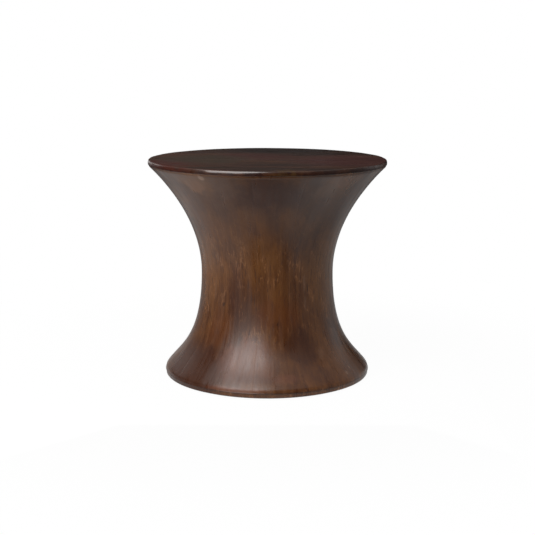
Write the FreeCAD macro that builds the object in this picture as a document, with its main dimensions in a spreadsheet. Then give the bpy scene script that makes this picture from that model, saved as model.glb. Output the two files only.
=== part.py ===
"""Hourglass stool: a turned drum of upright staves under a round seat of boards.

Millimetres and degrees. +Z is up, the origin is on the floor under the middle of the seat,
and the front of the stool faces -Y.
"""
import FreeCAD, Part
import os
import re

import Sketcher

# Counts of the pieces that repeat
STAVES = 14
BOARDS = 5
GLIDES = 7
SCREWS = 2 * BOARDS

PITCH = 360.0 / STAVES
GLIDE_PITCH = 360.0 / GLIDES
SCREW_PITCH = 360.0 / SCREWS

# How far a cutter runs past the wood
OVERRUN = 5.0

# Driving dimensions of the stool
SIZES = {
    # Overall form
    "seat_height": 450.0,
    "floor_gap": 2.0,
    "rim_radius": 244.7,
    "rim_overhang": 0.3,
    "rim_round": 5.5,
    "board_thickness": 9.0,
    "shoulder_land": 4.2,
    "shoulder_draft": 2.0,
    "waist_radius": 136.6,
    "waist_height": 217.2,
    "foot_radius": 213.2,
    "foot_edge": 10.2,
    "foot_turn": 13.9,
    "foot_round": 5.0,
    # Sweep of the flares: lean from upright at each end, and pull of each curve's poles
    "shoulder_lean": 45.3,
    "shoulder_pull": 100.3,
    "waist_pull_up": 72.4,
    "waist_pull_down": 140.0,
    "foot_pull": 41.2,
    "foot_lean": 37.1,
    # Staves: level thickness of the wall at three heights, and the turn of the first stave
    "shoulder_wall": 40.0,
    "waist_wall": 36.0,
    "foot_wall": 40.0,
    "first_stave_angle": -84.5,
    # Dowels between the staves
    "dowel_radius": 4.0,
    "dowel_length": 30.0,
    "dowel_chamfer": 1.0,
    "dowel_slack": 0.1,
    "dowel_end_gap": 1.0,
    # Seat carrier and the ledge that it sits on
    "ledge_wall": 34.0,
    "carrier_thickness": 15.0,
    "carrier_slack": 0.5,
    # Tongues between the seat boards
    "tongue_thickness": 3.0,
    "tongue_width": 12.0,
    "tongue_stop": 25.0,
    "tongue_slack": 0.1,
    "tongue_end_gap": 1.0,
    # Screws through the carrier into the boards
    "screw_edge": 28.0,
    "screw_radius": 2.0,
    "screw_bite": 6.0,
    "screw_point": 4.0,
    "screw_head_radius": 4.0,
    "screw_head_height": 2.4,
    "screw_slack": 0.1,
    # Glides under the foot and their nails
    "glide_inset": 22.0,
    "glide_radius": 11.0,
    "glide_thickness": 6.0,
    "glide_round": 1.5,
    "glide_slack": 0.2,
    "nail_radius": 1.2,
    "nail_length": 20.0,
    "nail_point": 3.0,
    "nail_head_radius": 3.5,
    "nail_head_height": 1.2,
    "nail_cover": 2.4,
    "nail_slack": 0.05,
}

doc = FreeCAD.newDocument("Stool")
sheet = doc.addObject("Spreadsheet::Sheet", "Sizes")
for row, (alias, number) in enumerate(SIZES.items(), start=1):
    sheet.set(f"A{row}", alias)
    sheet.set(f"B{row}", str(number))
    sheet.setAlias(f"B{row}", alias)
doc.recompute()


def tied(formula):
    """Writes each size's alias in a formula as a reference to the sheet."""
    return re.sub(r"\b(" + "|".join(SIZES) + r")\b", r"Sizes.\1", formula)


def value(formula):
    """The present value of a formula of the sheet's sizes."""
    return float(sheet.evalExpression(tied(formula)))


def point(corner):
    """The present place of a corner given as two formulas."""
    return FreeCAD.Vector(value(corner[0]), value(corner[1]), 0)


# Steps of an outline

def line_to(corner):
    """A straight edge to a corner."""
    return ("line", corner, None)


def curve_to(first_pole, last_pole, corner):
    """A cubic curve to a corner, pulled towards its two poles."""
    return ("curve", corner, (first_pole, last_pole))


def round_to(corner, middle):
    """A round to a corner, about its middle."""
    return ("round", corner, middle)


# Bodies and sketches

def new_body(label, turn=None):
    """A body of its own for one piece, turned about the stool's axis by a formula."""
    body = doc.addObject("PartDesign::Body", label)
    body.Label = label
    if turn is not None:
        body.Placement = FreeCAD.Placement(FreeCAD.Vector(), FreeCAD.Vector(0, 0, 1), 1.0)
        body.setExpression("Placement.Rotation.Angle", tied(turn))
    return body


def datum(body, role):
    """One of a body's own origin planes or axes."""
    return next(part for part in body.Origin.OriginFeatures if part.Role == role)


def new_sketch(body, name, plane, shift=("0", "0", "0"), swing=0.0):
    """A sketch on one of a body's planes, swung about the upright and shifted by formulas."""
    sketch = body.newObject("Sketcher::SketchObject", f"{body.Name}_{name}")
    sketch.AttachmentSupport = (datum(body, plane), [""])
    sketch.MapMode = "FlatFace"
    sketch.AttachmentOffset = FreeCAD.Placement(FreeCAD.Vector(), FreeCAD.Vector(0, 1, 0), swing)
    for axis, formula in zip("xyz", shift):
        if formula != "0":
            sketch.setExpression(f"AttachmentOffset.Base.{axis}", tied(formula))
    return sketch


def tie(sketch, kind, formula, *places):
    """A dimension of a sketch that follows a formula."""
    index = sketch.addConstraint(Sketcher.Constraint(kind, *places, value(formula)))
    sketch.setExpression(f"Constraints[{index}]", tied(formula))


def tie_point(sketch, edge, end, corner):
    """Ties a point of a sketch to two formulas, measured from the sketch's origin."""
    for kind, axis, formula in (("DistanceX", -2, corner[0]), ("DistanceY", -1, corner[1])):
        if formula == "0":
            sketch.addConstraint(Sketcher.Constraint("PointOnObject", edge, end, axis))
        else:
            tie(sketch, kind, formula, -1, 1, edge, end)


def draw_step(sketch, here, step):
    """Draws one edge of an outline and returns its number."""
    kind, corner, extra = step
    start, end = point(here), point(corner)
    if kind == "line":
        return sketch.addGeometry(Part.LineSegment(start, end))
    if kind == "curve":
        spline = Part.BSplineCurve()
        poles = [start, point(extra[0]), point(extra[1]), end]
        spline.buildFromPolesMultsKnots(poles, [4, 4], [0, 1], False, 3)
        edge = sketch.addGeometry(spline)
        first_pole = sketch.GeometryCount
        sketch.exposeInternalGeometry(edge)
        for offset, pole in enumerate(extra, start=1):
            tie_point(sketch, first_pole + offset, 3, pole)
        return edge
    middle = point(extra)
    ray = (start - middle) + (end - middle)
    crown = middle + ray.normalize() * start.distanceToPoint(middle)
    edge = sketch.addGeometry(Part.Arc(start, crown, end))
    tie_point(sketch, edge, 3, extra)
    return edge


def draw(sketch, start, steps):
    """Draws a closed outline from its start round the steps, and ties its corners to the sheet."""
    here = start
    ends = []
    for step in steps + [line_to(start)]:
        edge = draw_step(sketch, here, step)
        forward = sketch.getPoint(edge, 1).isEqual(point(here), 1e-6)
        ends.append((edge, 1, 2) if forward else (edge, 2, 1))
        here = step[1]
    for index, (edge, first, _) in enumerate(ends):
        before, _, last = ends[index - 1]
        sketch.addConstraint(Sketcher.Constraint("Coincident", before, last, edge, first))
    corners = [start] + [step[1] for step in steps]
    rounded = [False] + [step[0] == "round" for step in steps]
    for (edge, first, _), corner, after_round in zip(ends, corners, rounded):
        if after_round:
            tie(sketch, "DistanceY", corner[1], -1, 1, edge, first)
        else:
            tie_point(sketch, edge, first, corner)


def draw_box(sketch, low, high):
    """Draws a rectangle between two corners."""
    draw(sketch, low, [line_to((high[0], low[1])), line_to(high), line_to((low[0], high[1]))])


def draw_circle(sketch, middle, radius):
    """Draws a circle about its middle."""
    ring = Part.Circle(point(middle), FreeCAD.Vector(0, 0, 1), value(radius))
    edge = sketch.addGeometry(ring)
    tie_point(sketch, edge, 3, middle)
    tie(sketch, "Radius", radius, edge)


# Features

def turn(body, kind, sketch, axis, angle=360.0):
    """A revolved or grooved feature about an axis of its sketch, centred on the sketch's plane."""
    feature = body.newObject(f"PartDesign::{kind}", f"{sketch.Name}_{kind.lower()}")
    feature.Profile = sketch
    feature.ReferenceAxis = (sketch, [axis])
    feature.Midplane = True
    feature.Angle = angle
    return feature


def cut(body, sketch, depth=None, symmetric=False, reverse=False):
    """A pocket of a sketch to a depth, or right through both ways."""
    pocket = body.newObject("PartDesign::Pocket", f"{sketch.Name}_pocket")
    pocket.Profile = sketch
    pocket.Reversed = reverse
    if symmetric:
        pocket.SideType = "Symmetric"
    if depth is None:
        pocket.Type = "ThroughAll"
    else:
        pocket.setExpression("Length", tied(depth))
    return pocket


def ring_of(body, feature, count):
    """Repeats a feature evenly about the body's upright axis."""
    doc.recompute()
    pattern = body.newObject("PartDesign::PolarPattern", f"{feature.Name}_ring")
    pattern.Originals = [feature]
    pattern.Axis = (datum(body, "Z_Axis"), [""])
    pattern.Angle = 360.0
    pattern.Occurrences = count
    body.Tip = pattern
    return pattern


# Form of the drum, as radius and height

SHOULDER = "( seat_height - board_thickness )"
SHOULDER_RADIUS = "( rim_radius - rim_overhang )"
FLARE_TOP_RADIUS = f"( {SHOULDER_RADIUS} - shoulder_draft )"
FLARE_TOP = f"( {SHOULDER} - shoulder_land )"
SHOULDER_POLE = f"( {FLARE_TOP} - shoulder_pull * cos( shoulder_lean ) )"
FOOT_EDGE_TOP = "( floor_gap + foot_edge )"
FOOT_TURN_MIDDLE = ("( foot_radius - foot_turn )", FOOT_EDGE_TOP)
FLARE_FOOT_RADIUS = "( foot_radius - foot_turn * ( 1 - cos( foot_lean ) ) )"
FLARE_FOOT = f"( {FOOT_EDGE_TOP} + foot_turn * sin( foot_lean ) )"
FOOT_POLE = f"( {FLARE_FOOT} + foot_pull * cos( foot_lean ) )"
JOINT_FLATNESS = f"cos( {PITCH / 2} )"

OUTER_FOOT = [
    (FLARE_FOOT_RADIUS, FLARE_FOOT),
    (f"( {FLARE_FOOT_RADIUS} - foot_pull * sin( foot_lean ) )", FOOT_POLE),
    ("waist_radius", "( waist_height - waist_pull_down )"),
    ("waist_radius", "waist_height"),
]
OUTER_SHOULDER = [
    ("waist_radius", "waist_height"),
    ("waist_radius", "( waist_height + waist_pull_up )"),
    (f"( {FLARE_TOP_RADIUS} - shoulder_pull * sin( shoulder_lean ) )", SHOULDER_POLE),
    (FLARE_TOP_RADIUS, FLARE_TOP),
]
INNER_WAIST = "( waist_radius - waist_wall )"
INNER_FOOT = [
    ("( foot_radius - foot_wall )", "floor_gap"),
    (
        "( foot_radius - foot_wall - foot_pull * sin( foot_lean ) )",
        "( floor_gap + foot_pull * cos( foot_lean ) )",
    ),
    (INNER_WAIST, "( waist_height - waist_pull_down )"),
    (INNER_WAIST, "waist_height"),
]
INNER_SHOULDER = [
    (INNER_WAIST, "waist_height"),
    (INNER_WAIST, "( waist_height + waist_pull_up )"),
    (f"( {FLARE_TOP_RADIUS} - shoulder_wall - shoulder_pull * sin( shoulder_lean ) )", SHOULDER_POLE),
    (f"( {FLARE_TOP_RADIUS} - shoulder_wall )", FLARE_TOP),
]
CORE = f"( {INNER_WAIST} / 2 )"
LEDGE_RADIUS = f"( {SHOULDER_RADIUS} - ledge_wall )"
LEDGE_HEIGHT = f"( {SHOULDER} - carrier_thickness )"


def halfway(curve, axis):
    """The formula of a cubic curve's middle point along one axis."""
    first, second, third, last = (pole[axis] for pole in curve)
    return f"( ( {first} + 3 * {second} + 3 * {third} + {last} ) / 8 )"


def wall_middle(outer, inner):
    """The middle of the wall on a joint between two staves, where a dowel goes."""
    radius = f"( ( {outer[0]} + {inner[0]} / {JOINT_FLATNESS} ) / 2 )"
    return (radius, f"( ( {outer[1]} + {inner[1]} ) / 2 )")


def curve_middle(outer, inner):
    """The middle of the wall half way along a flare."""
    return wall_middle(*((halfway(curve, 0), halfway(curve, 1)) for curve in (outer, inner)))


DOWEL_PLACES = {
    "lower_dowels": curve_middle(OUTER_FOOT, INNER_FOOT),
    "waist_dowels": wall_middle(OUTER_FOOT[-1], INNER_FOOT[-1]),
    "upper_dowels": curve_middle(OUTER_SHOULDER, INNER_SHOULDER),
}
GLIDE_PLACE = "( foot_radius - glide_inset )"
SCREW_PLACE = f"( {LEDGE_RADIUS} - carrier_slack - screw_edge )"
SCREW_LENGTH = "( carrier_thickness + screw_bite )"


# Staves

def turned_wedge(body):
    """The stave's wedge, turned to the drum's outside."""
    sketch = new_sketch(body, "outside", "XZ_Plane")
    foot_middle = ("( foot_radius - foot_round )", "( floor_gap + foot_round )")
    draw(sketch, (CORE, "floor_gap"), [
        line_to((foot_middle[0], "floor_gap")),
        round_to(("foot_radius", foot_middle[1]), foot_middle),
        line_to(("foot_radius", FOOT_EDGE_TOP)),
        round_to(OUTER_FOOT[0], FOOT_TURN_MIDDLE),
        curve_to(*OUTER_FOOT[1:]),
        curve_to(*OUTER_SHOULDER[1:]),
        line_to((SHOULDER_RADIUS, SHOULDER)),
        line_to((CORE, SHOULDER)),
    ])
    turn(body, "Revolution", sketch, "V_Axis", PITCH)


def sawn_inside(body):
    """Saws the stave's inner face, curved along its length and flat across it."""
    sketch = new_sketch(body, "inside", "XZ_Plane")
    below, above = f"( floor_gap - {OVERRUN} )", f"( {SHOULDER} + {OVERRUN} )"
    draw(sketch, ("0", below), [
        line_to((INNER_FOOT[0][0], below)),
        line_to(INNER_FOOT[0]),
        curve_to(*INNER_FOOT[1:]),
        curve_to(*INNER_SHOULDER[1:]),
        line_to((INNER_SHOULDER[-1][0], above)),
        line_to(("0", above)),
    ])
    cut(body, sketch, symmetric=True)


def turned_ledge(body):
    """Turns the ledge that carries the seat carrier."""
    sketch = new_sketch(body, "ledge", "XZ_Plane")
    draw_box(sketch, (CORE, LEDGE_HEIGHT), (LEDGE_RADIUS, f"( {SHOULDER} + {OVERRUN} )"))
    turn(body, "Groove", sketch, "V_Axis")


def dowel_holes(body):
    """Bores the dowel holes in both edges of the stave."""
    for side, swing in (("left", PITCH / 2), ("right", -PITCH / 2)):
        sketch = new_sketch(body, f"{side}_dowels", "XZ_Plane", swing=swing)
        for place in DOWEL_PLACES.values():
            draw_circle(sketch, place, "( dowel_radius + dowel_slack )")
        cut(body, sketch, "( dowel_length / 2 + dowel_end_gap )", reverse=side == "left")


def glide_seat(body):
    """Bores the seat of a glide and the hole of its nail in the stave's foot."""
    depth = "( glide_thickness - floor_gap )"
    seat = new_sketch(body, "glide_seat", "XY_Plane", ("0", "0", "floor_gap"))
    draw_circle(seat, (GLIDE_PLACE, "0"), "( glide_radius + glide_slack )")
    cut(body, seat, depth, reverse=True)
    hole = new_sketch(body, "nail_hole", "XY_Plane", ("0", "0", "glide_thickness"))
    draw_circle(hole, (GLIDE_PLACE, "0"), "( nail_radius + nail_slack )")
    cut(body, hole, "( nail_cover + nail_length - glide_thickness + nail_slack )", reverse=True)


def make_stave(number):
    """One stave, with a glide under every second one."""
    body = new_body(f"stave_{number:02d}", f"first_stave_angle + {(number - 1) * PITCH}")
    turned_wedge(body)
    sawn_inside(body)
    turned_ledge(body)
    dowel_holes(body)
    if number % 2 == 1:
        glide_seat(body)
    return body


def make_dowels(label, place):
    """A ring of dowels, one across each joint between two staves."""
    body = new_body(label, f"first_stave_angle + {PITCH / 2}")
    sketch = new_sketch(body, "half", "XY_Plane", (place[0], "( 0 - dowel_length / 2 )", place[1]))
    draw(sketch, ("0", "0"), [
        line_to(("( dowel_radius - dowel_chamfer )", "0")),
        line_to(("dowel_radius", "dowel_chamfer")),
        line_to(("dowel_radius", "( dowel_length - dowel_chamfer )")),
        line_to(("( dowel_radius - dowel_chamfer )", "dowel_length")),
        line_to(("0", "dowel_length")),
    ])
    ring_of(body, turn(body, "Revolution", sketch, "V_Axis"), STAVES)
    return body


# Seat

def seam(number):
    """The formula of the place across the seat of the joint after a board."""
    return f"( rim_radius * {2 * number - BOARDS} / {BOARDS} )"


def tongue_reach(number, room="0"):
    """The formula of half a tongue's length, stopped short of the rim."""
    return f"( sqrt( rim_radius ^ 2 - {seam(number)} ^ 2 ) - tongue_stop + {room} )"


TONGUE_HEIGHT = f"( {SHOULDER} + board_thickness / 2 )"


def sawn_board(body, number):
    """The board as sawn, longer than the seat is wide."""
    sketch = new_sketch(body, "plank", "XY_Plane", ("0", "0", SHOULDER))
    half_length = f"( rim_radius + {OVERRUN} )"
    draw_box(sketch, (f"( 0 - {half_length} )", seam(number - 1)), (half_length, seam(number)))
    pad = body.newObject("PartDesign::Pad", f"{sketch.Name}_pad")
    pad.Profile = sketch
    pad.setExpression("Length", tied("board_thickness"))


def turned_rim(body):
    """Turns the seat's rim: an upright edge and a rounded top."""
    sketch = new_sketch(body, "rim", "XZ_Plane")
    below, above = f"( {SHOULDER} - {OVERRUN} )", f"( seat_height + {OVERRUN} )"
    clear = "( 2 * rim_radius )"
    round_middle = ("( rim_radius - rim_round )", "( seat_height - rim_round )")
    draw(sketch, (clear, below), [
        line_to((clear, above)),
        line_to((round_middle[0], above)),
        line_to((round_middle[0], "seat_height")),
        round_to(("rim_radius", round_middle[1]), round_middle),
        line_to(("rim_radius", below)),
    ])
    turn(body, "Groove", sketch, "V_Axis")


def tongue_slot(body, number):
    """Cuts the stopped slot for the tongue in the joint after a board."""
    sketch = new_sketch(body, f"slot_{number}", "YZ_Plane")
    half_width = "( tongue_width / 2 + tongue_end_gap )"
    half_thickness = "( tongue_thickness / 2 + tongue_slack )"
    draw_box(
        sketch,
        (f"( {seam(number)} - {half_width} )", f"( {TONGUE_HEIGHT} - {half_thickness} )"),
        (f"( {seam(number)} + {half_width} )", f"( {TONGUE_HEIGHT} + {half_thickness} )"),
    )
    cut(body, sketch, f"( 2 * {tongue_reach(number, 'tongue_end_gap')} )", symmetric=True)


def pilot_holes(body, number):
    """Bores the two holes for the screws that hold the board from below."""
    swing = (number - (BOARDS + 1) / 2) * SCREW_PITCH
    sketch = new_sketch(body, "pilots", "XY_Plane", ("0", "0", SHOULDER))
    for angle in (swing, 180.0 - swing):
        place = (f"( {SCREW_PLACE} * cos( {angle} ) )", f"( {SCREW_PLACE} * sin( {angle} ) )")
        draw_circle(sketch, place, "( screw_radius + screw_slack )")
    cut(body, sketch, "( screw_bite + screw_slack )", reverse=True)


def make_board(number):
    """One board of the seat, turned with the others to a round."""
    body = new_body(f"seat_board_{number}")
    sawn_board(body, number)
    turned_rim(body)
    for joint in (number - 1, number):
        if 0 < joint < BOARDS:
            tongue_slot(body, joint)
    pilot_holes(body, number)
    return body


def make_tongue(number):
    """A loose tongue in the joint after a board."""
    tongue = doc.addObject("Part::Box", f"seat_tongue_{number}")
    tongue.Label = f"seat_tongue_{number}"
    reach = tongue_reach(number)
    sizes = {
        "Length": f"2 * {reach}",
        "Width": "tongue_width",
        "Height": "tongue_thickness",
        "Placement.Base.x": f"0 - {reach}",
        "Placement.Base.y": f"{seam(number)} - tongue_width / 2",
        "Placement.Base.z": f"{TONGUE_HEIGHT} - tongue_thickness / 2",
    }
    for name, formula in sizes.items():
        tongue.setExpression(name, tied(formula))
    return tongue


def make_carrier():
    """The plywood disc under the boards, with its ring of countersunk holes."""
    body = new_body("seat_carrier")
    disc = new_sketch(body, "disc", "XZ_Plane")
    draw_box(disc, ("0", LEDGE_HEIGHT), (f"( {LEDGE_RADIUS} - carrier_slack )", SHOULDER))
    turn(body, "Revolution", disc, "V_Axis")
    hole = new_sketch(body, "screw_hole", "XZ_Plane", (SCREW_PLACE, LEDGE_HEIGHT, "0"))
    below, above = f"( 0 - {OVERRUN} )", f"( carrier_thickness + {OVERRUN} )"
    head_radius, hole_radius = "( screw_head_radius + screw_slack )", "( screw_radius + screw_slack )"
    draw(hole, ("0", below), [
        line_to((head_radius, below)),
        line_to((head_radius, "0")),
        line_to((hole_radius, "screw_head_height")),
        line_to((hole_radius, above)),
        line_to(("0", above)),
    ])
    ring_of(body, turn(body, "Groove", hole, "V_Axis"), SCREWS)
    return body


def make_screws():
    """The ring of countersunk wood screws, flush with the carrier's underside."""
    body = new_body("seat_screws")
    sketch = new_sketch(body, "half", "XZ_Plane", (SCREW_PLACE, LEDGE_HEIGHT, "0"))
    draw(sketch, ("0", "0"), [
        line_to(("screw_head_radius", "0")),
        line_to(("screw_radius", "screw_head_height")),
        line_to(("screw_radius", f"( {SCREW_LENGTH} - screw_point )")),
        line_to(("0", SCREW_LENGTH)),
    ])
    ring_of(body, turn(body, "Revolution", sketch, "V_Axis"), SCREWS)
    return body


# Glides

def make_glide(number):
    """One nylon glide, moulded round the head of its nail."""
    body = new_body(f"glide_{number}", f"first_stave_angle + {(number - 1) * GLIDE_PITCH}")
    sketch = new_sketch(body, "half", "XZ_Plane", (GLIDE_PLACE, "0", "0"))
    round_middle = ("( glide_radius - glide_round )", "glide_round")
    head_top = "( nail_cover + nail_head_height )"
    draw(sketch, ("0", "0"), [
        line_to((round_middle[0], "0")),
        round_to(("glide_radius", "glide_round"), round_middle),
        line_to(("glide_radius", "glide_thickness")),
        line_to(("nail_radius", "glide_thickness")),
        line_to(("nail_radius", head_top)),
        line_to(("nail_head_radius", head_top)),
        line_to(("nail_head_radius", "nail_cover")),
        line_to(("0", "nail_cover")),
    ])
    turn(body, "Revolution", sketch, "V_Axis")
    return body


def make_nails():
    """The ring of nails whose heads are held in the glides."""
    body = new_body("glide_nails", "first_stave_angle")
    sketch = new_sketch(body, "half", "XZ_Plane", (GLIDE_PLACE, "nail_cover", "0"))
    draw(sketch, ("0", "0"), [
        line_to(("nail_head_radius", "0")),
        line_to(("nail_head_radius", "nail_head_height")),
        line_to(("nail_radius", "nail_head_height")),
        line_to(("nail_radius", "( nail_length - nail_point )")),
        line_to(("0", "nail_length")),
    ])
    ring_of(body, turn(body, "Revolution", sketch, "V_Axis"), GLIDES)
    return body


pieces = [make_stave(number) for number in range(1, STAVES + 1)]
pieces += [make_dowels(label, place) for label, place in DOWEL_PLACES.items()]
pieces += [make_board(number) for number in range(1, BOARDS + 1)]
pieces += [make_tongue(number) for number in range(1, BOARDS)]
pieces += [make_carrier(), make_screws()]
pieces += [make_glide(number) for number in range(1, GLIDES + 1)]
pieces.append(make_nails())
doc.recompute()

for item in doc.Objects:
    if {"Invalid", "Error"} & set(item.State):
        raise RuntimeError(f"{item.Label} did not build: {item.State}")
    if item.TypeId in ("PartDesign::Pocket", "PartDesign::Groove"):
        if item.Shape.Volume >= item.BaseFeature.Shape.Volume:
            raise RuntimeError(f"{item.Label} cuts nothing")
for piece in pieces:
    if piece.Shape.isNull() or not piece.Shape.isValid():
        raise RuntimeError(f"{piece.Label} has no valid shape")

os.makedirs("parts", exist_ok=True)
for piece in pieces:
    piece.Shape.exportStep(f"parts/{piece.Label}.step")
    print(piece.Label, len(piece.Shape.Solids), "solids", round(piece.Shape.Volume), "mm3")
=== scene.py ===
"""Hourglass stool, dressed: a turned drum of staves, a boarded seat, its fixings and glides.

Metres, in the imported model's frame: +Z is up, the floor is at z = 0 and the front of the
stool faces -Y.
"""

import logging
import math
import random
from dataclasses import dataclass
from enum import Enum
from typing import Iterable, Sequence, Union

import bmesh
import bpy
import numpy as np
from mathutils import Matrix, Vector, noise

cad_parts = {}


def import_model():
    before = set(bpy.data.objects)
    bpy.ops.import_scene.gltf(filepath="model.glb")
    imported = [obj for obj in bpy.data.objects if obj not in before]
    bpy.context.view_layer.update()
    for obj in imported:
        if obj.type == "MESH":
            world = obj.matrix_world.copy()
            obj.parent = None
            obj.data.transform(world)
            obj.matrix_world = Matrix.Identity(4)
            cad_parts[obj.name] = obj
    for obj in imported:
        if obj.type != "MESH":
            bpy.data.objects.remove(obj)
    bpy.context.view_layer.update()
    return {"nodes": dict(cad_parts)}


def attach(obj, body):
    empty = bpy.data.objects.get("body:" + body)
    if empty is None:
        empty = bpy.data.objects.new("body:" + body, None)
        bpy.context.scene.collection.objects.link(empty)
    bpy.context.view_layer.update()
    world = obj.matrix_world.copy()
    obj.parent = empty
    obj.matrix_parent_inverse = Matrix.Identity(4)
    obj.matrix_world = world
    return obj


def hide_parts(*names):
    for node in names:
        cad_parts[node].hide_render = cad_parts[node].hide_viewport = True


LOG = logging.getLogger("stool")
ROOT_BODY = "root"
PHOTO_PIXELS = 535.0
SHARP_ANGLE = math.radians(32.0)
TREE_LENGTH = 8.0
SAME_NUMBER = 1e-9
SAME_PLACE = 1e-6
NO_LENGTH = 1e-7
MIDDLE = 0.5
FRONT_ANGLE = -90.0

Color = tuple[float, float, float, float]
Point = tuple[float, float]
Place = tuple[float, float, float]
Socket = bpy.types.NodeSocket
Feed = Union[float, Sequence[float], Socket]

ACROSS_FIBRES: Place = (1.0, 1.0, 0.0)


class Mark(Enum):
    """Names of the values that a wooden piece carries at each point for its finish."""

    GRAIN = "grain"
    TONE = "tone"
    CUT = "cut"
    # On the seat, nearness to the rim's rounded edge; on the drum, nearness to the crease over the plinth,
    # where the finish paints shade.
    EDGE = "edge"


# Curves of the turned section

def cubic(poles: Sequence[Point], count: int) -> np.ndarray:
    """Points along a cubic curve.

    Args:
        poles: The curve's two ends and, between them, its two poles.
        count: How many points to take.

    Returns:
        The points, one row each.
    """
    share = np.linspace(0.0, 1.0, count)[:, None]
    first, second, third, last = (np.array(pole) for pole in poles)
    rest = 1.0 - share
    return rest**3 * first + 3 * rest**2 * share * second + 3 * rest * share**2 * third + share**3 * last


def eased(before: Point, corner: Point, after: Point, count: int) -> np.ndarray:
    """Points round an eased corner.

    Args:
        before: Where the easing starts.
        corner: The sharp corner that it takes off.
        after: Where the easing ends.
        count: How many points to take.

    Returns:
        The points, one row each.
    """
    share = np.linspace(0.0, 1.0, count)[:, None]
    rest = 1.0 - share
    return rest**2 * np.array(before) + 2 * rest * share * np.array(corner) + share**2 * np.array(after)


def straight(start: Point, end: Point, count: int) -> np.ndarray:
    """Points along a straight edge, both ends included, one row each."""
    return np.linspace(start, end, count)


def arc(middle: Point, radius: float, start: float, end: float, count: int) -> np.ndarray:
    """Points round an arc from one angle to another, both ends included, one row each."""
    angle = np.linspace(start, end, count)
    return np.c_[middle[0] + radius * np.cos(angle), middle[1] + radius * np.sin(angle)]


def chained(*runs: np.ndarray) -> np.ndarray:
    """Joins runs that each start where the one before ends into one line of points."""
    return np.vstack([runs[0], *(run[1:] for run in runs[1:])])


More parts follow.
